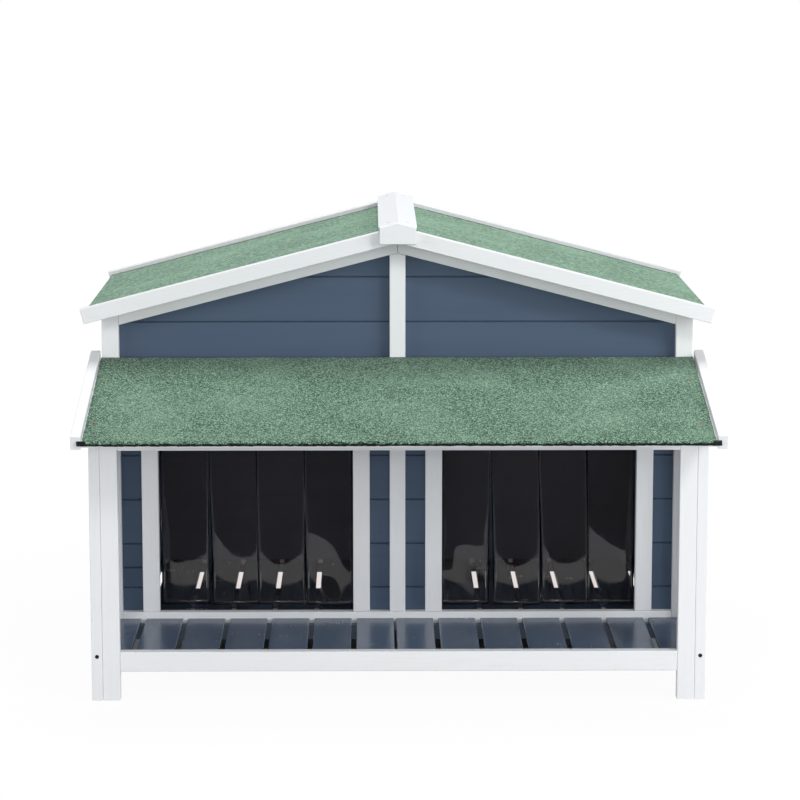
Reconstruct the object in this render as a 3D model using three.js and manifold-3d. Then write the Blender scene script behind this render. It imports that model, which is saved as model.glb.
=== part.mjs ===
// Wooden dog house with a porch, two curtained doorways and a felted gable roof.
// Millimetres, +Z up, the porch faces -Y. While the pieces are made, Y = 0 is the front face of the
// porch posts; each one is then moved so that the origin is the middle of the house on the ground.
import * as THREE from 'three';
import { mergeVertices } from 'three/addons/utils/BufferGeometryUtils.js';
import Module from 'manifold-3d';

// Joinery
const gap = 0.3; // between two pieces that touch
const seam = 0.1; // between the two boards of the ridge cap, which are painted over
const arris = 1; // broken edge of planed timber
const tenon = 12; // of a rail into its stile
const shy = 0.2; // a rail's faces lie this much below its stiles'
const bite = 0.5; // of a bearer into the planks it carries
const timber = 20; // thickness of the frame timbers
const stile = 32; // width of the stiles and top rails
const railDepth = 37; // depth of the bottom rails and headers
const boarding = 10; // thickness of the wall boards and of the planks
const roofSheet = 9; // thickness of the roof panels
const felt = 3;

// Cabin
const cabinFront = 267.5; // face of the front wall
const cabinDepth = 564.5; // over the front and rear frames
const floorTop = 92;
const sillDrop = 25; // underside of the front and rear bottom rails, from the floor's top
const centreStile = 30;
const innerPanel = 38.5; // boards showing between the centre stile and a door stile
const sidePanel = 40; // boards showing between a door stile and the corner stile
const gableRail = 31.5;
const firstBoard = 56.5; // from the floor's top to the lowest joint between wall boards
const boardPitch = 86.4;
const rippedBoard = 39.2; // from there to one more joint, in the left panel only
const headerJoint = 4; // the joint that the headers cover, counted from the lowest
const headerLap = 8; // of the header below that joint
const reveal = 2; // wall boards kept back from the edges of a doorway

// Joint between two wall boards
const vee = 2; // depth and half width
const slotDepth = 4.5;
const slotWidth = 0.8;

// Doorways and their curtains
const doorWidth = 373.5;
const curtainRail = [12, 26]; // thickness and depth
const railReach = 6; // of the curtain rail beyond the doorways
const stripCount = 4;
const stripThickness = 2;
const stripSpacing = 0.6;
const stripMargin = 1.8; // beside the outermost strips
const stripStandoff = 3.3; // from the wall boards to a strip
const stripSwingGap = 0.45;
const stripEnds = [[18.5, 20.5, 19, 21.5], [20, 18.8, 21, 19.5]]; // above the floor, outwards, left and right

// Floor and deck
const plank = 71.1;
const plankGap = 10.2;
const panelGap = 5; // between the two halves of a floor
const deckShift = -5; // of the gap between the deck's halves from the centre line
const floorShift = 2;
const frontBearer = 62.5; // from the face of the wall, as the next
const middleBearer = [240.5, 303.5]; // a wide one, laid flat

// Main roof
const eaveOverhang = 37; // of the fascias beyond the cabin's sides
const roofPitch = THREE.MathUtils.degToRad(14.5);
const feltPeak = 846.6; // where the felt's two top faces meet
const overhang = 25; // of the roof panels in front of the wall
const rearOverhang = 2;
const fasciaDepth = 29.5;
const fasciaProud = 8; // above the felt
const fasciaReach = 4; // beyond the felt at the eaves
const capHalf = 36.5;
const capThickness = 17;
const blockHalf = 34.3;
const blockDrop = 0.5; // below the fascias' joint
const frontBlock = 18;
const rearBlock = 12;

// Porch
const porchProud = 3.5; // of the porch sides beyond the cabin's
const porchPitch = THREE.MathUtils.degToRad(12.87);
const porchDrop = 86.1; // from the top of the cabin's sides to the porch's felt at the wall
const porchRun = 415.4; // of the felt down its slope
const feltFold = 9; // down the front edge
const feltInset = 2.5; // from the sides of the porch
const foldLap = 7; // of the fold over the bargeboards' ends
const beamDepth = 59;
const bargeDepth = 25;
const bargeThickness = 18;
const bargeProud = 8;
const bargeTail = 15.5; // past the face of the wall
const balusters = 2;

// Fastenings
const boltHeight = 83;
const boltRadius = 3.6;
const boltLength = 7;
const boltSink = 1;
const socketRadius = 1.7;
const socketDepth = 2.5;
const screwRadius = 3.5;
const screwSink = 3;
const screwEnds = [40, 30]; // from the front and rear ends of the ridge cap

// Sizes that follow
const doorInner = centreStile / 2 + innerPanel + stile; // from the centre line to the doorway
const doorOuter = doorInner + doorWidth;
const cabinHalf = doorOuter + stile + sidePanel + stile;
const railBottom = floorTop - railDepth; // underside of the lowest rails and of the bearers
const firstJoint = floorTop + firstBoard;
const cabinRear = cabinFront + cabinDepth;
const wallInner = cabinHalf - timber - gap; // outer face of the side boards
const cornerInner = cabinHalf - stile;
const boardFront = cabinFront + timber + gap;
const boardRear = cabinRear - timber - gap;
const seat = felt + gap + roofSheet + gap; // depth of the walls' top edges below the felt
const sillBottom = floorTop - sillDrop;
const sillTop = sillBottom + railDepth;
const headerBottom = firstJoint + headerJoint * boardPitch - headerLap;
const headerTop = headerBottom + railDepth;
const roofFront = cabinFront - overhang;
const roofRear = cabinRear + rearOverhang;
const fasciaFront = roofFront - gap - timber;
const fasciaRear = roofRear + gap + timber;
const rearmost = fasciaRear + gap + rearBlock;
const porchHalf = cabinHalf + porchProud;
const postOuter = porchHalf - timber - gap;
const postInner = postOuter - stile;
const porchTop = cabinFront - gap;
const porchFelt = roofHeight(cabinHalf, -seat) - porchDrop;
const boardBack = boardFront + boarding; // inner face of the front boards
const stripAxisY = boardBack + stripStandoff + stripThickness / 2;
const stripAxisZ = headerBottom + 1.5;
const capTop = gap + capThickness; // above the felt
const capEnd = (capHalf - capTop * Math.sin(roofPitch)) / Math.cos(roofPitch); // along the slope

// Roof planes. `above` is measured square to the slope, from the felt's top face.
function roofHeight(x, above) {
  return feltPeak + above / Math.cos(roofPitch) - Math.abs(x) * Math.tan(roofPitch);
}

// A point of the main roof in X and Z, `along` the slope from the ridge.
function roofPoint(along, above) {
  const [sin, cos] = [Math.sin(roofPitch), Math.cos(roofPitch)];
  return [along * cos + above * sin, feltPeak - along * sin + above * cos];
}

function porchHeight(y, above) {
  return porchFelt + above / Math.cos(porchPitch) - (porchTop - y) * Math.tan(porchPitch);
}

// A point of the porch roof in Y and Z, `along` the slope from the wall.
function porchPoint(along, above) {
  const [sin, cos] = [Math.sin(porchPitch), Math.cos(porchPitch)];
  return [porchTop - along * cos - above * sin, porchFelt - along * sin + above * cos];
}

const frontmost = Math.min(porchPoint(porchRun, 0)[0], fasciaFront);
const originY = (frontmost + rearmost) / 2;

// Shapes: a slab is an outline in one plane with thickness across it, from `from` to `to`.
const axes = {
  xy: [new THREE.Vector3(1, 0, 0), new THREE.Vector3(0, 1, 0), new THREE.Vector3(0, 0, 1)],
  xz: [new THREE.Vector3(1, 0, 0), new THREE.Vector3(0, 0, 1), new THREE.Vector3(0, -1, 0)],
  yz: [new THREE.Vector3(0, 1, 0), new THREE.Vector3(0, 0, 1), new THREE.Vector3(1, 0, 0)],
};

function slab(plane, outline, from, to, edge = arris) {
  const shape = new THREE.Shape(outline.map(([a, b]) => new THREE.Vector2(a, b)));
  const geometry = new THREE.ExtrudeGeometry(shape, {
    depth: to - from - 2 * edge,
    bevelEnabled: edge > 0,
    bevelThickness: edge,
    bevelSize: edge,
    bevelOffset: -edge,
    bevelSegments: 1,
  });
  geometry.deleteAttribute('uv');
  geometry.translate(0, 0, edge + (plane === 'xz' ? -to : from));
  return geometry.applyMatrix4(new THREE.Matrix4().makeBasis(...axes[plane]));
}

function rectangle([a0, a1], [b0, b1]) {
  return [[a0, b0], [a1, b0], [a1, b1], [a0, b1]];
}

// A straight timber between pairs of coordinates.
function bar(x, y, z, edge = arris) {
  const spans = [x, y, z].map(([low, high]) => high - low);
  const thin = spans.indexOf(Math.min(...spans));
  if (thin === 0) return slab('yz', rectangle(y, z), ...x, edge);
  if (thin === 1) return slab('xz', rectangle(x, z), ...y, edge);
  return slab('xy', rectangle(x, y), ...z, edge);
}

function mirrored(geometry) {
  const copy = geometry.clone();
  const points = geometry.attributes.position;
  for (let i = 0; i < points.count; i += 3) {
    [0, 2, 1].forEach((k, n) => {
      copy.attributes.position.setXYZ(i + n, -points.getX(i + k), points.getY(i + k), points.getZ(i + k));
    });
  }
  copy.computeVertexNormals();
  return copy;
}

// Cuts and unions
const wasm = await Module();
wasm.setup();

function toManifold(geometry) {
  const plain = geometry.clone();
  plain.deleteAttribute('normal');
  plain.deleteAttribute('uv');
  const merged = mergeVertices(plain, 1e-4);
  return new wasm.Manifold(new wasm.Mesh({
    numProp: 3,
    vertProperties: new Float32Array(merged.attributes.position.array),
    triVerts: new Uint32Array(merged.index.array),
  }));
}

function fromManifold(manifold) {
  const { vertProperties, triVerts } = manifold.getMesh();
  const indexed = new THREE.BufferGeometry();
  indexed.setAttribute('position', new THREE.BufferAttribute(new Float32Array(vertProperties), 3));
  indexed.setIndex(new THREE.BufferAttribute(new Uint32Array(triVerts), 1));
  const geometry = indexed.toNonIndexed();
  geometry.computeVertexNormals();
  return geometry;
}

function cut(geometry, ...tools) {
  return fromManifold(tools.reduce((body, tool) => body.subtract(toManifold(tool)), toManifold(geometry)));
}

function clip(geometry, region) {
  return fromManifold(toManifold(geometry).intersect(toManifold(region)));
}

function join(first, ...others) {
  return fromManifold(others.reduce((body, other) => body.add(toManifold(other)), toManifold(first)));
}

// Named pieces
const looks = {
  white: { color: 0xe4e8ec, roughness: 0.55, metalness: 0 },
  slate: { color: 0x46526a, roughness: 0.5, metalness: 0 },
  bare: { color: 0xc9a777, roughness: 0.8, metalness: 0 },
  felt: { color: 0x5f8d6e, roughness: 0.97, metalness: 0 },
  pvc: { color: 0x3a3438, roughness: 0.12, metalness: 0, transparent: true, opacity: 0.55 },
  black: { color: 0x141414, roughness: 0.45, metalness: 0.6 },
};
const group = new THREE.Group();

function add(name, look, geometry) {
  const mesh = new THREE.Mesh(geometry, new THREE.MeshStandardMaterial(looks[look]));
  mesh.name = name;
  mesh.position.y = -originY;
  group.add(mesh);
}

// The same piece on the right and, mirrored, on the left.
function addPair(name, look, geometry) {
  add(`${name}_right`, look, geometry);
  add(`${name}_left`, look, mirrored(geometry));
}

// Boarding from `low` to `high`, in [depth from its outer face, height]: tongue-and-groove boards,
// glued up, with a vee and a narrow slot at each joint.
function boardSection(low, high, extra = []) {
  const outer = [[0, low]];
  const joints = [...extra];
  for (let joint = firstJoint; joint < high - vee; joint += boardPitch) joints.push(joint);
  const visible = joints.filter((joint) => joint > low + vee).sort((a, b) => a - b);
  for (const joint of visible) {
    const half = slotWidth / 2;
    outer.push([0, joint - vee], [vee, joint - half], [slotDepth, joint - half]);
    outer.push([slotDepth, joint + half], [vee, joint + half], [0, joint + vee]);
  }
  return [...outer, [0, high], [boarding, high], [boarding, low]];
}

// Boards across the front or the rear wall. `face` is their outer face, `inwards` is 1 at the front.
function crossBoards(section, x, face, inwards) {
  return slab('yz', section.map(([depth, height]) => [face + inwards * depth, height]), ...x, 0);
}

// Everything between the side frames and below the roof panels.
function underRoof() {
  const outline = [[-wallInner, 0], [wallInner, 0], [wallInner, roofHeight(wallInner, -seat)]];
  outline.push([0, roofHeight(0, -seat)], [-wallInner, roofHeight(wallInner, -seat)]);
  return slab('xz', outline, cabinFront, cabinRear, 0);
}

function addPorchFrame() {
  const post = [[0, 0], [timber, 0], [timber, porchHeight(timber, -seat)], [0, porchHeight(0, -seat)]];
  addPair('porch_post', 'white', slab('yz', post, postInner, postOuter));
  const between = [-postInner + gap, postInner - gap];
  add('porch_front_rail', 'white', bar(between, [0, timber], [railBottom, floorTop]));
  const beamBottom = porchHeight(0, -seat) - beamDepth;
  const beam = [[0, beamBottom], [timber, beamBottom], ...post.slice(2)];
  add('porch_top_beam', 'white', slab('yz', beam, ...between));
}

function porchSideStile(front) {
  const back = front + stile;
  const outline = [[front, 0], [back, 0], [back, porchHeight(back, -seat)], [front, porchHeight(front, -seat)]];
  return slab('yz', outline, porchHalf - timber, porchHalf);
}

function boltHole() {
  const hole = new THREE.CylinderGeometry(boltRadius + gap, boltRadius + gap, 2 * (boltLength + gap), 20);
  return hole.translate(porchHalf - timber / 2, 0, boltHeight);
}

// A side of the porch: two stiles, two rails tenoned into them, and balusters between the rails.
function addPorchSides() {
  const [front, back] = [stile, porchTop - stile];
  const x = [porchHalf - timber + shy, porchHalf - shy];
  const [railFront, railBack] = [front - tenon, back + tenon];
  const under = -seat - stile;
  const top = [[railFront, porchHeight(railFront, under)], [railBack, porchHeight(railBack, under)]];
  top.push([railBack, porchHeight(railBack, -seat - shy)], [railFront, porchHeight(railFront, -seat - shy)]);
  const rails = [bar(x, [railFront, railBack], [railBottom, floorTop]), slab('yz', top, ...x)];
  const space = (back - front - balusters * timber) / (balusters + 1);
  for (let i = 0; i < balusters; i += 1) {
    const near = front + space + i * (space + timber);
    const far = near + timber;
    const outline = [[near, floorTop - tenon], [far, floorTop - tenon]];
    outline.push([far, porchHeight(far, under) + tenon], [near, porchHeight(near, under) + tenon]);
    rails.push(slab('yz', outline, x[0] + shy, x[1] - shy));
  }
  const frame = join(porchSideStile(0), porchSideStile(back), ...rails);
  addPair('porch_side', 'white', cut(frame, boltHole()));
}

// Half of a floor: planks from the middle outwards, the last one ripped to the width left, and the
// bearers that they are nailed to.
function floorPanel(side, shift, half, y, bearers) {
  const width = half - side * shift;
  const across = (near, far) => [shift + side * near, shift + side * far].sort((a, b) => a - b);
  const planks = [];
  for (let start = panelGap / 2; start < width - plankGap; start += plank + plankGap) {
    const x = across(start, Math.min(start + plank, width));
    planks.push(bar(x, y, [floorTop - boarding, floorTop]));
  }
  const length = across(panelGap / 2, width);
  const under = (bottom) => [bottom, floorTop - boarding + bite];
  return join(...bearers.map(([front, back, bottom]) => bar(length, [front, back], under(bottom))), ...planks);
}

function addFloors() {
  const deckY = [timber + gap, porchTop];
  const deckBearers = [timber + gap, porchTop - timber].map((front) => [front, front + timber, railBottom]);
  const floorY = [boardFront, boardRear];
  const [front, middle] = [cabinFront + frontBearer, middleBearer.map((back) => cabinFront + back)];
  const floorBearers = [
    [front, front + timber, railBottom],
    [...middle, railBottom],
    [boardRear - timber, boardRear, sillBottom],
  ];
  for (const [name, side] of [['left', -1], ['right', 1]]) {
    add(`deck_panel_${name}`, 'slate', floorPanel(side, deckShift, postOuter, deckY, deckBearers));
    add(`floor_panel_${name}`, 'slate', floorPanel(side, floorShift, wallInner, floorY, floorBearers));
  }
}

function cornerStile(y) {
  const outline = [[cornerInner, 0], [cabinHalf, 0], [cabinHalf, roofHeight(cabinHalf, -seat)]];
  outline.push([cornerInner, roofHeight(cornerInner, -seat)]);
  return slab('xz', outline, y, y + timber);
}

// The right half of a gable's sloping rail.
function gableRailOf(y, thickness = timber, near = gap / 2, far = cornerInner - gap, drop = 0) {
  const [top, under] = [-seat - drop, -seat - gableRail];
  const outline = [[near, roofHeight(near, top)], [far, roofHeight(far, top)]];
  outline.push([far, roofHeight(far, under)], [near, roofHeight(near, under)]);
  return slab('xz', outline, y, y + thickness);
}

// The stile on the centre line, its peaked top `room` below the sloping rails.
function middleStile(y, bottom, room = gap) {
  const half = centreStile / 2;
  const top = (x) => roofHeight(x, -seat - gableRail) - room;
  const outline = [[-half, bottom], [half, bottom], [half, top(half)], [0, top(0)], [-half, top(half)]];
  return slab('xz', outline, y, y + timber);
}

function addFrontFrame() {
  const y = [cabinFront, cabinFront + timber];
  addPair('front_corner_stile', 'white', cornerStile(cabinFront));
  const doorStile = [sillTop + gap, headerBottom - gap];
  addPair('door_stile_outer', 'white', bar([doorOuter, doorOuter + stile], y, doorStile));
  addPair('door_stile_inner', 'white', bar([doorInner - stile, doorInner], y, doorStile));
  add('front_centre_stile', 'white', middleStile(cabinFront, sillTop + gap));
  const half = cornerInner - gap;
  add('front_bottom_rail', 'white', bar([-half, half], y, [sillBottom, sillTop]));
  addPair('door_header', 'white', bar([centreStile / 2 + gap, half], y, [headerBottom, headerTop]));
  addPair('front_gable_rail', 'white', gableRailOf(cabinFront));
}

// The front boards: beside and between the doorways, and one panel above them.
function addFrontBoards() {
  const low = floorTop + gap;
  const middle = firstJoint + headerJoint * boardPitch;
  const panel = (x, extra) => crossBoards(boardSection(low, middle - gap, extra), x, boardFront, 1);
  const side = [doorOuter + reveal, wallInner];
  const centre = doorInner - reveal;
  add('front_boards_right', 'slate', panel(side));
  add('front_boards_left', 'slate', mirrored(panel(side, [firstJoint + rippedBoard])));
  add('front_boards_centre', 'slate', panel([-centre, centre]));
  const section = boardSection(middle, roofHeight(0, -seat));
  const upper = crossBoards(section, [-wallInner, wallInner], boardFront, 1);
  add('front_boards_upper', 'slate', clip(upper, underRoof()));
}

function addSideWalls() {
  const x = [cabinHalf - timber, cabinHalf];
  const railX = [x[0] + shy, x[1] - shy];
  const edge = (across, above) => [across, roofHeight(across, above)];
  const stileOutline = [[x[0], 0], [x[1], 0], edge(x[1], -seat), edge(x[0], -seat)];
  const topOutline = railX.map((across) => edge(across, -seat - stile));
  topOutline.push(edge(railX[1], -seat - shy), edge(railX[0], -seat - shy));
  const [front, back] = [boardFront + stile, boardRear - stile];
  const railY = [front - tenon, back + tenon];
  const frame = join(
    slab('xz', stileOutline, boardFront, front),
    slab('xz', stileOutline, back, boardRear),
    slab('xz', topOutline, ...railY),
    bar(railX, railY, [railBottom, floorTop]),
  );
  addPair('side_frame', 'white', frame);
  const section = boardSection(floorTop + gap, roofHeight(wallInner - boarding, -seat));
  const outline = section.map(([depth, height]) => [wallInner - depth, height]);
  const boards = slab('xz', outline, boardBack + gap, boardRear - boarding - gap, 0);
  addPair('side_boards', 'slate', clip(boards, underRoof()));
}

function addRearWall() {
  const y = cabinRear - timber;
  const reach = cornerInner + tenon;
  const [railY, railEnd] = [y + shy, timber - 2 * shy];
  const corner = cornerStile(y);
  const top = gableRailOf(railY, railEnd, 0, reach, shy);
  const bottom = bar([-reach, reach], [railY, railY + railEnd], [sillBottom, sillTop]);
  const middle = middleStile(y, sillTop - tenon, -tenon);
  add('rear_frame', 'white', join(corner, mirrored(corner), top, mirrored(top), bottom, middle));
  const section = boardSection(floorTop + gap, roofHeight(0, -seat));
  const boards = crossBoards(section, [-wallInner, wallInner], boardRear, -1);
  add('rear_boards', 'slate', clip(boards, underRoof()));
}

function addRoof() {
  const eave = (cabinHalf + eaveOverhang - fasciaProud * Math.sin(roofPitch)) / Math.cos(roofPitch);
  const feltEnd = eave - fasciaReach;
  const sheetEnd = feltEnd - felt - gap;
  const near = gap / 2;
  const [sheetTop, sheetBottom] = [-felt - gap, -felt - gap - roofSheet];
  const sheet = [[near, roofHeight(near, sheetTop)], roofPoint(sheetEnd, sheetTop)];
  sheet.push(roofPoint(sheetEnd, sheetBottom), [near, roofHeight(near, sheetBottom)]);
  addPair('roof_panel', 'bare', slab('xz', sheet, roofFront, roofRear, 0));
  const cover = [[near, roofHeight(near, 0)], roofPoint(feltEnd, 0), roofPoint(feltEnd, sheetBottom)];
  cover.push(roofPoint(feltEnd - felt, sheetBottom), roofPoint(feltEnd - felt, -felt));
  cover.push([near, roofHeight(near, -felt)]);
  addPair('roof_felt', 'felt', slab('xz', cover, roofFront, roofRear, 0));

  const notch = capEnd + gap; // the fascias' tops are cut down to the felt under the ridge cap
  const foot = fasciaProud - fasciaDepth;
  const fascia = [[near, roofHeight(near, 0)], roofPoint(notch, 0)];
  fascia.push(roofPoint(notch, fasciaProud), roofPoint(eave, fasciaProud));
  fascia.push(roofPoint(eave, foot), [near, roofHeight(near, foot)]);
  addPair('front_fascia', 'white', slab('xz', fascia, fasciaFront, fasciaFront + timber));
  addPair('rear_fascia', 'white', slab('xz', fascia, fasciaRear - timber, fasciaRear));
}

// A countersink in the ridge cap's right-hand board, square to its slope.
function screwHole(y) {
  const along = (capHalf / 2 - capTop * Math.sin(roofPitch)) / Math.cos(roofPitch);
  const [x, z] = roofPoint(along, capTop);
  const hole = new THREE.CylinderGeometry(screwRadius, screwRadius, 2 * screwSink, 20);
  return hole.rotateX(Math.PI / 2).rotateY(roofPitch).translate(x, y, z);
}

function addRidge() {
  const near = seam / 2;
  const section = [[near, roofHeight(near, gap)], roofPoint(capEnd, gap), roofPoint(capEnd, capTop)];
  section.push([near, roofHeight(near, capTop)]);
  const holes = [fasciaFront + screwEnds[0], fasciaRear - screwEnds[1]].map(screwHole);
  addPair('ridge_cap', 'white', cut(slab('xz', section, fasciaFront, fasciaRear), ...holes));
  const bottom = roofHeight(0, fasciaProud - fasciaDepth) - blockDrop;
  const block = [[-blockHalf, bottom], [blockHalf, bottom], [blockHalf, roofHeight(blockHalf, capTop)]];
  block.push([0, roofHeight(0, capTop)], [-blockHalf, roofHeight(blockHalf, capTop)]);
  const [front, rear] = [fasciaFront - gap, fasciaRear + gap];
  add('ridge_block_front', 'white', slab('xz', block, front - frontBlock, front));
  add('ridge_block_rear', 'white', slab('xz', block, rear, rear + rearBlock));
}

function addPorchRoof() {
  const [sheetTop, sheetBottom] = [-felt - gap, -felt - gap - roofSheet];
  const sheetEnd = porchRun - felt - gap;
  const sheet = [[porchTop, porchHeight(porchTop, sheetTop)], porchPoint(sheetEnd, sheetTop)];
  sheet.push(porchPoint(sheetEnd, sheetBottom), [porchTop, porchHeight(porchTop, sheetBottom)]);
  const cover = [[porchTop, porchFelt], porchPoint(porchRun, 0), porchPoint(porchRun, -feltFold)];
  cover.push(porchPoint(porchRun - felt, -feltFold), porchPoint(porchRun - felt, -felt));
  cover.push([porchTop, porchHeight(porchTop, -felt)]);
  const fold = [porchPoint(porchRun, 0), porchPoint(porchRun, -feltFold)];
  fold.push(porchPoint(porchRun - felt, -feltFold), porchPoint(porchRun - felt, 0));

  const [feltHalf, foldHalf] = [porchHalf - feltInset, porchHalf + foldLap];
  const top = slab('yz', cover, -feltHalf, feltHalf, 0);
  add('porch_roof_felt', 'felt', join(top, slab('yz', fold, -foldHalf, foldHalf, 0)));
  add('porch_roof_panel', 'white', slab('yz', sheet, -porchHalf, porchHalf, 0));

  const barge = [porchPoint(-bargeTail, bargeProud), porchPoint(sheetEnd, bargeProud)];
  barge.push(porchPoint(sheetEnd, bargeProud - bargeDepth), porchPoint(-bargeTail, bargeProud - bargeDepth));
  const inner = porchHalf + gap;
  addPair('porch_bargeboard', 'white', slab('yz', barge, inner, inner + bargeThickness));
  const [front, back] = [porchTop - timber, porchTop];
  const ledger = [[front, porchHeight(front, -seat)], [back, porchHeight(back, -seat)]];
  ledger.push([back, porchHeight(front, -seat) - stile], [front, porchHeight(front, -seat) - stile]);
  add('porch_ledger', 'white', slab('yz', ledger, -postOuter, postOuter));
}

// Hexagon socket bolts, sunk just below the faces of the porch's side stiles.
function addBolts() {
  const head = new THREE.CylinderGeometry(boltRadius, boltRadius, boltLength - boltSink, 20);
  const socket = new THREE.CylinderGeometry(socketRadius, socketRadius, boltLength - boltSink, 6);
  socket.translate(0, socketDepth - boltLength + boltSink, 0);
  const middle = (boltSink + boltLength) / 2;
  addPair('frame_bolt', 'black', cut(head, socket).translate(porchHalf - timber / 2, middle, boltHeight));
}

// A strip hangs from an axis just inside its rounded top edge.
function curtainStrip(x, bottom) {
  const r = stripThickness / 2;
  const outline = [[stripAxisY - r, bottom], [stripAxisY + r, bottom]];
  for (let i = 0; i <= 6; i += 1) {
    const angle = (i * Math.PI) / 6;
    outline.push([stripAxisY + r * Math.cos(angle), stripAxisZ + r * Math.sin(angle)]);
  }
  return slab('yz', outline, ...x, 0);
}

function addCurtains() {
  const low = stripAxisZ + stripThickness / 2 + stripSwingGap;
  const back = boardBack + gap;
  const half = doorOuter + railReach;
  const rail = bar([-half, half], [back, back + curtainRail[0]], [low, low + curtainRail[1]]);
  add('curtain_rail', 'white', rail);
  const width = (doorWidth - 2 * stripMargin - (stripCount - 1) * stripSpacing) / stripCount;
  for (let i = 0; i < stripCount; i += 1) {
    const start = doorInner + stripMargin + i * (width + stripSpacing);
    const x = [start, start + width];
    add(`curtain_left_${i + 1}`, 'pvc', mirrored(curtainStrip(x, floorTop + stripEnds[0][i])));
    add(`curtain_right_${i + 1}`, 'pvc', curtainStrip(x, floorTop + stripEnds[1][i]));
  }
}

addPorchFrame();
addPorchSides();
addFloors();
addFrontFrame();
addFrontBoards();
addSideWalls();
addRearWall();
addRoof();
addRidge();
addPorchRoof();
addBolts();
addCurtains();

export default group;
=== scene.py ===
"""A painted softwood dog house with a porch, dressed for a studio picture.

Metres, Z up, the porch faces -Y. The origin is the middle of the house on the ground.
"""

import math
import random

import bpy
from mathutils import Euler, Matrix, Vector


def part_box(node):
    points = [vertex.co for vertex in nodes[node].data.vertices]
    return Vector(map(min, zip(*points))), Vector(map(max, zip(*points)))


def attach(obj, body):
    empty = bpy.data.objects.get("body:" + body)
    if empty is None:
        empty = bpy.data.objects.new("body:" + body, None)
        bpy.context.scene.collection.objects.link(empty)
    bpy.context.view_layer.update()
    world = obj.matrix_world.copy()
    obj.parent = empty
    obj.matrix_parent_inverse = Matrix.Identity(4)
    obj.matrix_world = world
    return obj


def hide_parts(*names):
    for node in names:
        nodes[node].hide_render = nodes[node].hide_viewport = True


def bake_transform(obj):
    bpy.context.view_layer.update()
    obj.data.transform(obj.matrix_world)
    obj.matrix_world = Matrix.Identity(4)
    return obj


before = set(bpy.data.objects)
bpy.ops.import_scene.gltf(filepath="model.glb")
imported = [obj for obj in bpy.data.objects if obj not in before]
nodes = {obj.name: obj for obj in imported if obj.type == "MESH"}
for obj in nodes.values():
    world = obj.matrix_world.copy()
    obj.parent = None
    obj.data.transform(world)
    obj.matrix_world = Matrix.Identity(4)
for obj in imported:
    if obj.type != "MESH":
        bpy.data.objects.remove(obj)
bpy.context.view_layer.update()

# ---------------------------------------------------------------- the camera
EYE = (-0.0505, -5.6314, 1.4091)
LOOK_DOWN = 0.1595
LOOK_RIGHT = 0.00998
LENS = 132.0
SENSOR = 36

# ---------------------------------------------------------------- paints and stock
WHITE = (0.80, 0.815, 0.835)
WHITE_BRUSHED = (0.70, 0.705, 0.71)
WHITE_RUBBED = (0.70, 0.67, 0.62)
SLATE = (0.080, 0.116, 0.178)
SLATE_DARK = (0.058, 0.086, 0.136)
SLATE_DUST = (0.10, 0.12, 0.15)
FELT_GREEN = (0.054, 0.128, 0.079)
FELT_DARK = (0.012, 0.030, 0.020)
FELT_PALE = (0.28, 0.46, 0.33)
# pale colour of the felt's worn patches; it also gives the painted sheen that makes the main roof's felt
# paler
FELT_WEAR_AND_SHEEN = (0.28, 0.46, 0.33)
BITUMEN = (0.006, 0.006, 0.006)
PLYWOOD = (0.56, 0.42, 0.27)
PLYWOOD_DARK = (0.40, 0.27, 0.15)
PVC_CLEAR = (0.82, 0.75, 0.73)
BOLT_BLACK = (0.012, 0.012, 0.013)
BOLT_RUBBED = (0.04, 0.04, 0.045)
COPPERY_ZINC = (0.42, 0.20, 0.10)
COPPERY_DARK = (0.20, 0.09, 0.05)

BOARD_PITCH = 0.0864
FIRST_JOINT = 0.1485
PLANK_PITCH = 0.0813
DECK_SPLIT = -0.005

MAIN_PITCH = math.radians(14.5)
PORCH_PITCH = math.radians(12.87)
FELT = 0.003

BOARD_GLOSS, BOARD_RELIEF = 0.34, 0.00012
PLANK_GLOSS, PLANK_RELIEF = 0.17, 0.00006
PORCH_GRAIN, ROOF_GRAIN = 560.0, 230.0
ROOF_PAINTED_SHEEN = 0.33  # painted sheen: how far the main roof's felt is moved from the porch's towards the pale colour, standing in for the brighter look of grit seen at a grazing angle
PVC_INDEX = 1.42


# ---------------------------------------------------------------- shader expressions
class Socket:
    """A shader value that takes part in arithmetic: every operator adds its Math node."""

    def __init__(self, recipe, link):
        self.recipe = recipe
        self.link = link

    def __add__(self, other):
        return self.recipe.math("ADD", self, other)

    def __radd__(self, other):
        return self.recipe.math("ADD", other, self)

    def __sub__(self, other):
        return self.recipe.math("SUBTRACT", self, other)

    def __rsub__(self, other):
        return self.recipe.math("SUBTRACT", other, self)

    def __mul__(self, other):
        return self.recipe.math("MULTIPLY", self, other)

    def __rmul__(self, other):
        return self.recipe.math("MULTIPLY", other, self)

    def __truediv__(self, other):
        return self.recipe.math("DIVIDE", self, other)


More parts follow.
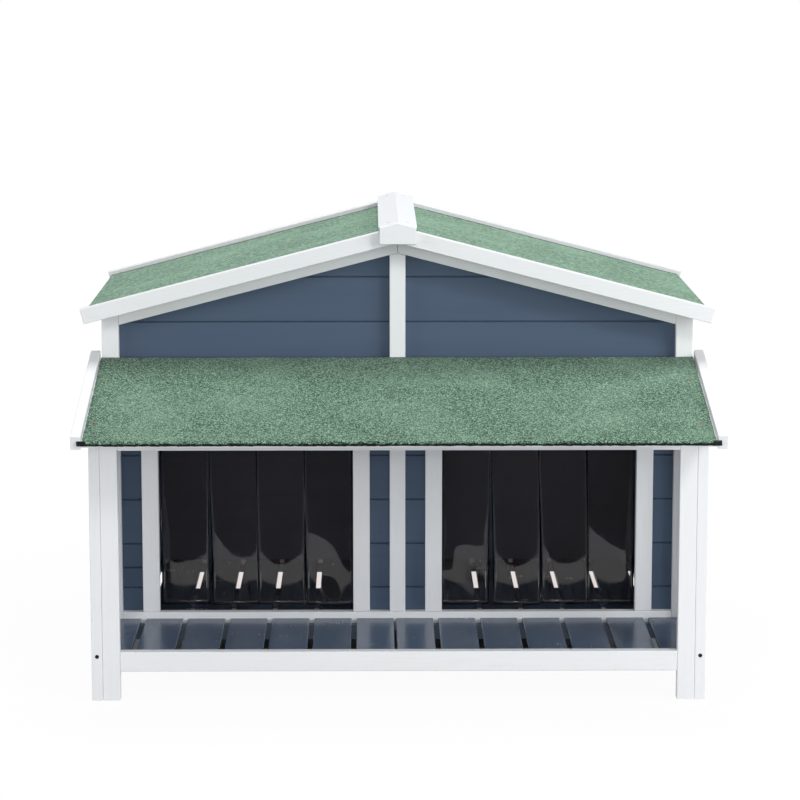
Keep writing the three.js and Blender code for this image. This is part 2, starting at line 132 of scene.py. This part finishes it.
class Recipe:
    """One material: a Principled shader and the nodes that drive it."""

    def __init__(self, name, **fixed):
        self.material = bpy.data.materials.new(name)
        self.material.use_nodes = True
        self.tree = self.material.node_tree
        self.shader = self.tree.nodes["Principled BSDF"]
        for label, value in fixed.items():
            self.shader.inputs[label.replace("_", " ")].default_value = value

    @classmethod
    def around(cls, tree):
        """The same methods on a tree that is there already, such as the world's."""
        recipe = cls.__new__(cls)
        recipe.tree = tree
        return recipe

    def node(self, kind, settings=None, sockets=None, out=0):
        """A node of any type: its settings, then the values or links of its sockets."""
        node = self.tree.nodes.new(kind)
        for key, value in (settings or {}).items():
            setattr(node, key, value)
        for key, value in (sockets or {}).items():
            self.feed(node.inputs[key], value)
        return Socket(self, node.outputs[out])

    def feed(self, socket, value):
        if isinstance(value, Socket):
            self.tree.links.new(value.link, socket)
        elif isinstance(value, tuple) and len(value) == 3 and socket.type == "RGBA":
            socket.default_value = (*value, 1.0)
        else:
            socket.default_value = value

    def math(self, operation, *values):
        return self.node("ShaderNodeMath", {"operation": operation}, dict(enumerate(values)))

    def mix(self, factor, a, b):
        """A colour between a and b."""
        return self.node("ShaderNodeMix", {"data_type": "RGBA"}, {0: factor, 6: a, 7: b}, out=2)

    def smooth(self, value, low, high):
        """0 below low, 1 above high, smooth between."""
        settings = {"interpolation_type": "SMOOTHSTEP"}
        sockets = {0: value, 1: low, 2: high, 3: 0.0, 4: 1.0}
        return self.node("ShaderNodeMapRange", settings, sockets)

    def place(self, scale=(1, 1, 1), offset=(0, 0, 0)):
        """Where a point is on its piece, in metres times scale."""
        where = self.node("ShaderNodeTexCoord", out=3)
        sockets = {0: where, 1: offset, 3: scale}
        return self.node("ShaderNodeMapping", None, sockets)

    def axis(self, where, index):
        return self.node("ShaderNodeSeparateXYZ", None, {0: where}, out=index)

    def noise(self, at, scale, detail=2.0, rough=0.5):
        sockets = {"Vector": at, "Scale": scale, "Detail": detail, "Roughness": rough}
        return self.node("ShaderNodeTexNoise", None, sockets)

    def cells(self, at, scale):
        """A value of its own for each cell."""
        colour = self.node("ShaderNodeTexVoronoi", None, {"Vector": at, "Scale": scale}, out=1)
        return self.axis(colour, 0)

    def bump(self, height, distance, strength):
        sockets = {"Strength": strength, "Distance": distance, "Height": height}
        return self.node("ShaderNodeBump", None, sockets)

    def dress(self, **links):
        for label, value in links.items():
            self.feed(self.shader.inputs[label.replace("_", " ")], value)
        return self.material


ALONG = {"x": (2.2, 55, 55), "y": (55, 2.2, 55), "z": (55, 55, 2.2)}


def timber_grain(recipe, along):
    """Fibres and slow bands that run along one axis of the house."""
    fibres = recipe.noise(recipe.place(ALONG[along]), 6.0, 4.0, 0.62)
    bands = recipe.noise(recipe.place(ALONG[along], (0, 3.1, 0)), 0.55, 2.0, 0.5)
    return fibres, bands


def white_paint(along):
    """Satin white paint, brushed along the timber, over softwood."""
    recipe = Recipe(f"white_paint_{along}", Specular_IOR_Level=0.45)
    fibres, bands = timber_grain(recipe, along)
    stains = recipe.noise(recipe.place(), 9.0, 3.0, 0.55)
    tint = recipe.mix(recipe.smooth(fibres, 0.45, 0.8) * 0.35, WHITE, WHITE_BRUSHED)
    colour = recipe.mix(recipe.smooth(stains, 0.5, 0.85) * 0.12, tint, WHITE_RUBBED)
    relief = fibres * 0.6 + bands * 0.4
    return recipe.dress(
        Base_Color=colour,
        Roughness=0.40 + fibres * 0.16,
        Normal=recipe.bump(relief, 0.00025, 0.5),
    )


def slate_paint(name, along, pitch_axis, pitch, start, gloss, relief_depth):
    """Blue-grey paint on boards that run along one axis and follow each other on another.

    Each board has a slightly different tone, found from the boards' pitch and where the first one starts.
    """
    recipe = Recipe(name, Specular_IOR_Level=0.3)
    where = recipe.place()
    fibres, bands = timber_grain(recipe, along)
    relief = fibres * 0.6 + bands * 0.4
    tone = recipe.smooth(bands, 0.3, 0.75) * 0.30 + recipe.smooth(fibres, 0.5, 0.8) * 0.22
    number = recipe.math("FLOOR", (recipe.axis(where, pitch_axis) - start) / pitch)
    lot = recipe.node("ShaderNodeTexWhiteNoise", {"noise_dimensions": "1D"}, {"W": number})
    tone = tone + lot * 0.30
    colour = recipe.mix(tone, SLATE, SLATE_DARK)
    dust = recipe.smooth(recipe.noise(where, 14.0, 4.0, 0.6), 0.55, 0.8)
    colour = recipe.mix(dust * 0.10, colour, SLATE_DUST)
    return recipe.dress(
        Base_Color=colour,
        Roughness=gloss + fibres * 0.14 + dust * 0.06,
        Normal=recipe.bump(relief, relief_depth, 0.5),
    )


def roofing_felt(name, painted_sheen, grain):
    """Bitumen felt with green mineral grit: dark and pale grains, slow patches of wear, and an even pale
    cast that paints in the sheen of grit seen at a grazing angle.
    """
    recipe = Recipe(name, Specular_IOR_Level=0.15, Sheen_Weight=0.12, Sheen_Roughness=0.5)
    where = recipe.place()
    grains = recipe.cells(where, grain)
    clumps = recipe.noise(where, grain * 0.7, 3.0, 0.7)
    patches = recipe.noise(where, 6.0, 3.0, 0.6)
    tone = grains * 0.6 + clumps * 0.8 - 0.2
    dark = recipe.smooth(tone, 0.52, 0.26)
    pale = recipe.smooth(tone, 0.48, 0.78)
    colour = recipe.mix(dark, FELT_GREEN, FELT_DARK)
    colour = recipe.mix(pale * 0.9, colour, FELT_PALE)
    # real wear in slow patches, plus an even pale cast all over: painted sheen for grit seen at a grazing
    # angle
    wear_and_sheen = recipe.smooth(patches, 0.40, 0.75) * 0.25 + painted_sheen
    colour = recipe.mix(wear_and_sheen, colour, FELT_WEAR_AND_SHEEN)
    return recipe.dress(
        Base_Color=colour,
        Roughness=0.84 + clumps * 0.14,
        Normal=recipe.bump(clumps + grains * 0.5, 0.0010, 0.9),
    )


def bitumen():
    """The felt's black core, where it is cut or folded, with a few grains of grit on it."""
    recipe = Recipe("bitumen", Specular_IOR_Level=0.3)
    where = recipe.place()
    grains = recipe.cells(where, 430.0)
    clumps = recipe.noise(where, 350.0, 3.0, 0.7)
    specks = recipe.smooth(grains, 0.80, 0.95) * 0.5
    return recipe.dress(
        Base_Color=recipe.mix(specks, BITUMEN, FELT_GREEN),
        Roughness=0.6 + clumps * 0.3,
        Normal=recipe.bump(clumps, 0.0008, 0.8),
    )


def plywood():
    """Unpainted sheet, seen only from below."""
    recipe = Recipe("bare_plywood", Specular_IOR_Level=0.3)
    fibres, bands = timber_grain(recipe, "x")
    tone = recipe.smooth(bands, 0.35, 0.7) * 0.6 + fibres * 0.4
    return recipe.dress(
        Base_Color=recipe.mix(tone, PLYWOOD, PLYWOOD_DARK),
        Roughness=0.66 + fibres * 0.2,
        Normal=recipe.bump(fibres, 0.0003, 0.6),
    )


def clear_pvc():
    """Soft clear sheet: the faint ripple of calendered plastic, and a light haze of scuffs."""
    recipe = Recipe("clear_pvc", Base_Color=(*PVC_CLEAR, 1.0), Transmission_Weight=1.0, IOR=PVC_INDEX)
    where = recipe.place()
    ripple = recipe.noise(recipe.place((14, 14, 3)), 1.0, 2.0, 0.5)
    scuffs = recipe.smooth(recipe.noise(where, 60.0, 5.0, 0.7), 0.60, 0.85)
    return recipe.dress(
        Roughness=0.015 + scuffs * 0.08,
        Normal=recipe.bump(ripple, 0.0016, 0.5),
    )


def bolt_steel():
    """Blackened steel, a little rubbed."""
    recipe = Recipe("bolt_steel", Metallic=0.6)
    specks = recipe.noise(recipe.place(), 900.0, 3.0, 0.6)
    return recipe.dress(
        Base_Color=recipe.mix(specks * 0.4, BOLT_BLACK, BOLT_RUBBED),
        Roughness=0.38 + specks * 0.2,
        Normal=recipe.bump(specks, 0.0001, 0.5),
    )


def coppery_zinc():
    """Yellow zinc plate, as on chipboard screws, with a coppery bloom."""
    recipe = Recipe("coppery_zinc", Metallic=0.6)
    bloom = recipe.noise(recipe.place(), 700.0, 3.0, 0.6)
    return recipe.dress(
        Base_Color=recipe.mix(bloom, COPPERY_ZINC, COPPERY_DARK),
        Roughness=0.35 + bloom * 0.25,
        Normal=recipe.bump(bloom, 0.0001, 0.4),
    )


# ---------------------------------------------------------------- dressing the frame
white = {along: white_paint(along) for along in "xyz"}
boarding = (2, BOARD_PITCH, FIRST_JOINT, BOARD_GLOSS, BOARD_RELIEF)
wall_boards = slate_paint("slate_boards_x", "x", *boarding)
side_wall_boards = slate_paint("slate_boards_y", "y", *boarding)
deck_planks = slate_paint("slate_deck", "y", 0, PLANK_PITCH, DECK_SPLIT, PLANK_GLOSS, PLANK_RELIEF)
porch_grit = roofing_felt("porch_grit", 0.0, PORCH_GRAIN)
# the main roof's felt is paler than the porch's: a painted sheen
roof_grit = roofing_felt("roof_grit", ROOF_PAINTED_SHEEN, ROOF_GRAIN)
black_core = bitumen()
sheet_timber = plywood()
pvc = clear_pvc()
bolt = bolt_steel()
zinc = coppery_zinc()

UPRIGHTS = ("stile", "post", "porch_side", "side_frame", "rear_frame")
RUNNING_BACK = ("ridge_cap", "bargeboard")


def finish_of(name):
    """The material of a node of the frame, by what it is."""
    if "felt" in name:
        return roof_grit
    if name.startswith("roof_panel"):
        return sheet_timber
    if name.startswith(("deck_panel", "floor_panel")):
        return deck_planks
    if name.startswith("side_boards"):
        return side_wall_boards
    if name.endswith("boards") or "_boards_" in name:
        return wall_boards
    if "bolt" in name:
        return bolt
    if any(word in name for word in RUNNING_BACK):
        return white["y"]
    if any(word in name for word in UPRIGHTS):
        return white["z"]
    return white["x"]


for name, piece in nodes.items():
    piece.data.materials.clear()
    piece.data.materials.append(finish_of(name))


# ---------------------------------------------------------------- meshes by rows and columns
def skinned(rows, thickness):
    """A closed sheet over a grid of points: an outer skin, an inner skin and a rim.

    The outer skin lies on the points, and the inner one `thickness` below it. The rim comes last.
    """
    down, across = len(rows), len(rows[0])
    verts = [point for row in rows for point in row]
    for i in range(down):
        for j in range(across):
            along = rows[min(i + 1, down - 1)][j] - rows[max(i - 1, 0)][j]
            over = rows[i][min(j + 1, across - 1)] - rows[i][max(j - 1, 0)]
            verts.append(rows[i][j] - over.cross(along).normalized() * thickness)
    under = down * across
    faces = []
    for i in range(down - 1):
        for j in range(across - 1):
            a = i * across + j
            faces.append([a, a + 1, a + across + 1, a + across])
    faces += [[under + corner for corner in reversed(face)] for face in faces]
    rim = list(range(across))
    rim += [i * across + across - 1 for i in range(1, down)]
    rim += [(down - 1) * across + j for j in range(across - 2, -1, -1)]
    rim += [i * across for i in range(down - 2, 0, -1)]
    for here, there in zip(rim, rim[1:] + rim[:1]):
        faces.append([there, here, under + here, under + there])
    return verts, faces, len(faces) - len(rim)


def sheet_piece(name, rows, thickness, materials, rim_material=0):
    """A piece made with skinned(): smooth skins, and a rim with sharp edges."""
    verts, faces, rim_start = skinned(rows, thickness)
    mesh = bpy.data.meshes.new(name)
    mesh.from_pydata(verts, [], faces)
    for material in materials:
        mesh.materials.append(material)
    for polygon in mesh.polygons:
        polygon.use_smooth = polygon.index < rim_start
        if polygon.index >= rim_start:
            polygon.material_index = rim_material
    mesh.update()
    piece = bpy.data.objects.new(name, mesh)
    bpy.context.scene.collection.objects.link(piece)
    return piece


# ---------------------------------------------------------------- the curtain strips
STRIP_THICKNESS = 0.0018
STRIP_COLUMNS = 14
STRIP_ROWS = 48
# For the strips from the middle outwards: lean of the lower end to the right, how far it hangs back,
# its twist in degrees, its camber, and the height of its slow waves. Metres but for the twist.
HANG = {
    "left": [
        (0.0020, 0.0000, -2.0, 0.0050, 0.0014),
        (0.0020, 0.0010, 1.0, 0.0060, 0.0001),
        (0.0060, 0.0045, -1.0, 0.0055, 0.0001),
        (0.0012, 0.0005, 2.0, 0.0050, 0.0002),
    ],
    "right": [
        (-0.0023, 0.0000, 2.0, 0.0050, 0.0015),
        (0.0068, 0.0005, 0.5, 0.0060, 0.0001),
        (0.0068, 0.0015, -0.5, 0.0060, 0.0001),
        (0.0015, 0.0060, -3.0, 0.0050, 0.0003),
    ],
}


def strip_rows(low, high, hang):
    """Points of a strip's front face: flat where the rail holds it, and cambered towards its end."""
    lean, back, twist, camber, wave = hang
    middle = (low + high) / 2
    half = (high.x - low.x) / 2
    rows = []
    for row in range(STRIP_ROWS + 1):
        t = row / STRIP_ROWS
        ease = t * t * (3 - 2 * t)
        angle = math.radians(twist) * ease
        line = []
        for column in range(STRIP_COLUMNS + 1):
            s = 2 * column / STRIP_COLUMNS - 1
            bulge = camber * (0.15 + 0.85 * ease) * (1 - s * s)
            ripple = wave * ease * math.sin(9.0 * t + 1.7 * s + 300 * lean)
            ripple += 0.5 * wave * ease * math.sin(17.0 * t - 2.9 * s)
            x = s * half * math.cos(angle) + bulge * math.sin(angle)
            y = s * half * math.sin(angle) - bulge * math.cos(angle) + ripple + back * ease
            z = high.z - t * (high.z - low.z)
            line.append(Vector((middle.x + x + lean * ease, low.y + y, z)))
        rows.append(line)
    return rows


def hang_curtains():
    """Each strip bends below the rail that holds it, and leans and twists towards its end."""
    for side, hangs in HANG.items():
        for number, hang in enumerate(hangs, start=1):
            node = f"curtain_{side}_{number}"
            low, high = (Vector(corner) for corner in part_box(node))
            body = f"strip_{side}_{number}"
            piece = sheet_piece(body, strip_rows(low, high, hang), STRIP_THICKNESS, [pvc])
            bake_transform(piece)
            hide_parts(node)


hang_curtains()

# ---------------------------------------------------------------- the roofing felt
FOLD_RADIUS = 0.004
PORCH_FOLD, MAIN_FOLD = 0.009, 0.0123  # down the edge
PORCH_INSET = 0.0095  # of the roof's own felt from the ends of its fold
PORCH_WAVE, MAIN_WAVE = 0.00025, 0.0002
RIDGE_GAP = 0.0002  # half, between the two felts of the main roof
FELT_STEP = 0.006
RAGGED = 0.0006
GRIT_TO = 0.0045  # grit on the fold, down from the roof's face; bitumen shows below
REAR_BLACK_STRIP = 0.012  # a strip of black bitumen without grit along the felt's rear edge, which shows as a dark line there


def folded_profile(run, fold, step):
    """Distances along the slope and above it, of a felt's outer face: down the roof and over the edge."""
    count = round((run - FOLD_RADIUS) / step)
    profile = [(i * (run - FOLD_RADIUS) / count, 0.0) for i in range(count + 1)]
    for i in range(1, 7):
        angle = i * math.pi / 12
        along = run - FOLD_RADIUS + FOLD_RADIUS * math.sin(angle)
        profile.append((along, -FOLD_RADIUS + FOLD_RADIUS * math.cos(angle)))
    drops = 4
    profile += [(run, -FOLD_RADIUS - (fold - FOLD_RADIUS) * i / drops) for i in range(1, drops + 1)]
    return profile


def ragged(rng):
    """A small step to either side, as a knife leaves along a cut edge."""
    return rng.uniform(-RAGGED, RAGGED)


def porch_felt():
    """One sheet from the wall to the front edge. Its fold is wider, and laps the bargeboards."""
    low, high = (Vector(corner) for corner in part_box("porch_roof_felt"))
    rng = random.Random(7)
    run = (high.y - low.y) / math.cos(PORCH_PITCH)
    profile = folded_profile(run, PORCH_FOLD, FELT_STEP)
    flat_half = high.x - PORCH_INSET
    sin, cos = math.sin(PORCH_PITCH), math.cos(PORCH_PITCH)
    columns = round((high.x - low.x) / FELT_STEP)
    rows = []
    for along, above in profile:
        folded = above < 0
        half = high.x if folded else flat_half
        line = []
        for column in range(columns + 1):
            s = 2 * column / columns - 1
            x = s * half + ragged(rng) if column in (0, columns) else s * flat_half
            a, h = along, above
            if folded:
                a -= abs(ragged(rng)) * 0.4
            else:
                h += PORCH_WAVE * (math.sin(23 * x + 31 * along) - 1)
            if (along, above) == profile[-1]:
                h += ragged(rng)
            line.append(Vector((x, high.y - a * cos - h * sin, high.z - a * sin + h * cos)))
        rows.append(line[::-1])
    piece = sheet_piece("porch_felt", rows, FELT, [porch_grit, black_core], 1)
    blacken(piece, rng, lambda p: high.z - (high.y - p.y) * math.tan(PORCH_PITCH) - p.z, flat_half)
    finish_felt(piece, "porch_roof_felt")


def main_felt(side):
    """One sheet from the ridge to the eaves, folded over the panel's edge."""
    node = f"roof_felt_{side}"
    low, high = (Vector(corner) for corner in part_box(node))
    hand = 1 if side == "right" else -1
    rng = random.Random(hand + 20)
    reach = high.x if hand > 0 else -low.x
    run = reach / math.cos(MAIN_PITCH)
    sin, cos = math.sin(MAIN_PITCH), math.cos(MAIN_PITCH)
    columns = round((high.y - low.y) / FELT_STEP)
    rows = []
    for along, above in folded_profile(run, MAIN_FOLD, FELT_STEP):
        line = []
        for column in range(columns + 1):
            y = low.y + column * (high.y - low.y) / columns
            a, h = max(along, RIDGE_GAP), above
            if above >= 0:
                h += MAIN_WAVE * (math.sin(19 * y + 27 * along) - 1)
            line.append(Vector((hand * (a * cos + h * sin), y, high.z - a * sin + h * cos)))
        rows.append(line if hand < 0 else line[::-1])
    piece = sheet_piece(f"main_felt_{side}", rows, FELT, [roof_grit, black_core], 1)
    for polygon in piece.data.polygons:
        if polygon.center.y > high.y - REAR_BLACK_STRIP + ragged(rng):
            polygon.material_index = 1
    finish_felt(piece, node)


def blacken(piece, rng, depth, half):
    """Bitumen shows at the foot of a fold and beyond the roof's sides."""
    for polygon in piece.data.polygons:
        low_down = depth(polygon.center) > GRIT_TO + 2 * ragged(rng)
        if low_down or abs(polygon.center.x) > half:
            polygon.material_index = 1


def finish_felt(piece, node):
    """Attaches a felt to the house's body and hides the node that it replaces."""
    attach(piece, "house")
    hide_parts(node)


porch_felt()
main_felt("left")
main_felt("right")

# ---------------------------------------------------------------- screws and nails
SCREW_XS = (-0.01825, 0.01825)
SCREW_ENDS = (0.040, 0.030)  # from the front and rear ends of the ridge cap
SCREW_RADIUS = 0.0033
SCREW_DEPTH = 0.0008  # of its head below the face of the ridge cap
CROSS_DEPTH = 0.0007
NAIL_PLACES = [(-0.5465, -0.4264), (0.5465, -0.4264), (-0.5465, -0.2154), (0.5465, -0.2154)]
NAIL_RADIUS = 0.0026


def lathed(name, profile, segments, recess=0.0, arm=0.0):
    """A turned head about Z, its profile given as (radius, height) from the middle outwards.

    A cross recess is pressed into it where recess isn't 0: its depth, and the half width of its arms.
    """
    verts, faces = [], []
    for radius, height in profile:
        for i in range(segments):
            angle = 2 * math.pi * i / segments
            x, y = radius * math.cos(angle), radius * math.sin(angle)
            in_cross = min(abs(x), abs(y)) < arm and radius < 0.62 * profile[-1][0]
            verts.append((x, y, height - (recess if in_cross else 0.0)))
    for ring in range(len(profile) - 1):
        for i in range(segments):
            j = (i + 1) % segments
            a, b = ring * segments, (ring + 1) * segments
            faces.append([a + i, b + i, b + j, a + j])
    faces.append(list(range(segments))[::-1])
    faces.append([(len(profile) - 1) * segments + i for i in range(segments)][::-1])
    mesh = bpy.data.meshes.new(name)
    mesh.from_pydata(verts, [], faces)
    mesh.materials.append(zinc)
    mesh.update()
    return mesh


def fasten(name, mesh, place, tilt):
    piece = bpy.data.objects.new(name, mesh)
    bpy.context.scene.collection.objects.link(piece)
    piece.location = place
    piece.rotation_euler = tilt
    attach(piece, "house")


def drive_screws():
    """Countersunk screws, at the foot of the holes in the ridge cap."""
    r = SCREW_RADIUS
    profile = [(share * r, 0.0) for share in (0.12, 0.3, 0.45, 0.6, 0.75, 0.96)]
    profile += [(r, -0.0002), (0.5 * r, -0.0018), (0.1 * r, -0.0019)]
    depth = SCREW_DEPTH / math.cos(MAIN_PITCH)
    low, high = (Vector(corner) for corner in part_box("ridge_cap_right"))
    for x in SCREW_XS:
        hand = 1 if x > 0 else -1
        for end, y in (("front", low.y + SCREW_ENDS[0]), ("rear", high.y - SCREW_ENDS[1])):
            z = high.z - abs(x) * math.tan(MAIN_PITCH) - depth
            name = f"cap_screw_{end}_{'right' if hand > 0 else 'left'}"
            mesh = lathed(name, profile, 32, CROSS_DEPTH, 0.22 * r)
            fasten(name, mesh, (x, y, z), (0, hand * MAIN_PITCH, 0))


def drive_nails():
    """Clout nails through the porch felt: flat heads, a little domed, pressed into the grit."""
    r = NAIL_RADIUS
    profile = [(0.1 * r, 0.0006), (0.4 * r, 0.00056), (0.75 * r, 0.00042), (0.95 * r, 0.0002), (r, -0.0001)]
    profile += [(0.9 * r, -0.0006), (0.1 * r, -0.0007)]
    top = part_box("porch_roof_felt")[1]
    for number, (x, y) in enumerate(NAIL_PLACES, start=1):
        z = top[2] - (top[1] - y) * math.tan(PORCH_PITCH) + 0.0003
        name = f"felt_nail_{number}"
        fasten(name, lathed(name, profile, 20), (x, y, z), (PORCH_PITCH, 0, 0))


drive_screws()
drive_nails()

# ---------------------------------------------------------------- the studio
PAPER_FRONT = -1.03  # where the white paper ends and the dark studio floor begins
PAPER_BACK = 8.0
PAPER_WIDTH = 16
PAPER_GREY = (0.50, 0.50, 0.50)
PAPER_GLOW = 1.03
SHADOW_KEPT = 0.07  # how much of the paper's own shading shows near the house
FLAG_SIZE = (5.0, 2.6)
FLAG_BROWN = (0.030, 0.018, 0.015)
DAYLIGHT = (0.94, 0.97, 1.0)
AMBIENT = 0.32
WARM = (1.0, 0.985, 0.96)
HOUSE_MIDDLE = (0, -0.1, 0.4)


def seen_directly(recipe, kinds):
    """1 on a camera ray and on the given kinds that follow from it. 0 on what lights the house,
    and on what is mirrored after it has passed through a strip."""
    rays = recipe.tree.nodes.new("ShaderNodeLightPath")
    seen = Socket(recipe, rays.outputs["Is Camera Ray"])
    for kind in kinds:
        seen = recipe.math("MAXIMUM", seen, Socket(recipe, rays.outputs[f"Is {kind} Ray"]))
    scattered, mirrored, passed = (
        recipe.math("MINIMUM", Socket(recipe, rays.outputs[f"{kind} Depth"]), 1.0)
        for kind in ("Diffuse", "Glossy", "Transmission")
    )
    return seen * (1 - scattered) * (1 - mirrored * passed)


def make_floor():
    """White paper. It shows evenly white, with a trace of the house's shadow near the house,
    and in the dark under the house it doesn't glow."""
    bpy.ops.mesh.primitive_plane_add(size=1)
    floor = bpy.context.object
    floor.name = "studio_paper"
    depth, middle = PAPER_BACK - PAPER_FRONT, (PAPER_FRONT + PAPER_BACK) / 2
    floor.scale = (PAPER_WIDTH, depth, 1)
    floor.location = (0, middle, -0.0002)
    recipe = Recipe("studio_paper", Base_Color=(*PAPER_GREY, 1.0), Roughness=0.9)
    seen = seen_directly(recipe, ("Glossy", "Transmission"))
    where = recipe.place((PAPER_WIDTH, depth, 0), (0, middle, 0))
    distance = recipe.node("ShaderNodeVectorMath", {"operation": "LENGTH"}, {0: where}, out=1)
    far = recipe.smooth(distance, 1.0, 2.2)
    glow = recipe.node("ShaderNodeEmission", None, {"Color": (1.0, 1.0, 1.0), "Strength": PAPER_GLOW})
    lit = Socket(recipe, recipe.shader.outputs[0])
    across = recipe.math("ABSOLUTE", recipe.axis(where, 0))
    back = recipe.axis(where, 1)
    beneath = recipe.smooth(across, 0.60, 0.52)
    beneath = beneath * recipe.smooth(back, -0.16, 0.0) * recipe.smooth(back, 0.50, 0.42)
    share = seen * ((1 - SHADOW_KEPT) + far * SHADOW_KEPT) * (1 - beneath)
    surface = recipe.node("ShaderNodeMixShader", None, {0: share, 1: lit, 2: glow})
    recipe.feed(recipe.tree.nodes["Material Output"].inputs["Surface"], surface)
    floor.data.materials.append(recipe.material)


def make_flag():
    """The dark studio floor in front of the paper, for the curtains to mirror as in the picture."""
    bpy.ops.mesh.primitive_plane_add(size=1)
    flag = bpy.context.object
    flag.name = "studio_flag"
    flag.scale = (*FLAG_SIZE, 1)
    flag.location = (0, PAPER_FRONT - FLAG_SIZE[1] / 2, 0.0)
    recipe = Recipe("studio_flag", Base_Color=(*FLAG_BROWN, 1.0), Roughness=0.9)
    flag.data.materials.append(recipe.material)
    flag.visible_camera = False
    flag.visible_diffuse = False
    flag.visible_shadow = False


def make_world():
    """White where it is seen, through the curtains too. Soft cool light on the house and in its gloss."""
    world = bpy.data.worlds.new("studio_world")
    bpy.context.scene.world = world
    world.use_nodes = True
    recipe = Recipe.around(world.node_tree)
    recipe.tree.nodes.clear()
    ambient = recipe.node("ShaderNodeBackground", None, {"Color": DAYLIGHT, "Strength": AMBIENT})
    paper = recipe.node("ShaderNodeBackground", None, {"Color": (1.0, 1.0, 1.0), "Strength": 1.0})
    seen = seen_directly(recipe, ("Transmission",))
    sky = recipe.node("ShaderNodeMixShader", None, {0: seen, 1: ambient, 2: paper})
    output = recipe.tree.nodes.new("ShaderNodeOutputWorld")
    recipe.feed(output.inputs["Surface"], sky)


def softbox(name, place, size, energy, colour=(1.0, 1.0, 1.0), mirrored=True):
    """A soft lamp that faces the house. Where it isn't mirrored, gloss doesn't show it."""
    lamp = bpy.data.lights.new(name, "AREA")
    lamp.shape = "RECTANGLE"
    lamp.size, lamp.size_y = size
    lamp.energy = energy
    lamp.color = colour
    holder = bpy.data.objects.new(name, lamp)
    bpy.context.scene.collection.objects.link(holder)
    holder.location = place
    holder.visible_glossy = mirrored
    holder.rotation_euler = (Vector(HOUSE_MIDDLE) - place).to_track_quat("-Z", "Y").to_euler()


def aimed(azimuth, elevation, distance):
    """A place seen from the house: degrees to the right of its front, degrees up, and metres away."""
    turn, rise = math.radians(azimuth), math.radians(elevation)
    away = Vector((math.sin(turn) * math.cos(rise), -math.cos(turn) * math.cos(rise), math.sin(rise)))
    return Vector(HOUSE_MIDDLE) + away * distance


make_floor()
make_flag()
make_world()
softbox("key_right", aimed(41, 36, 5.0), (0.9, 0.9), 70, WARM)
softbox("overhead", aimed(180, 80, 4.5), (2.4, 2.4), 140)
softbox("fill_left", aimed(-60, 13, 4.5), (2.0, 1.4), 46)
softbox("fill_right", aimed(58, 14, 4.5), (2.0, 1.4), 73)
softbox("fill_front", aimed(3, 9, 4.8), (2.6, 1.2), 50, mirrored=False)

camera = bpy.data.objects.new("camera", bpy.data.cameras.new("camera"))
bpy.context.scene.collection.objects.link(camera)
camera.location = EYE
camera.rotation_euler = Euler((math.pi / 2 - LOOK_DOWN, 0, -LOOK_RIGHT))
camera.data.lens = LENS
camera.data.sensor_width = SENSOR
camera.data.clip_end = 100
bpy.context.scene.camera = camera
bpy.context.scene.view_settings.view_transform = "Standard"
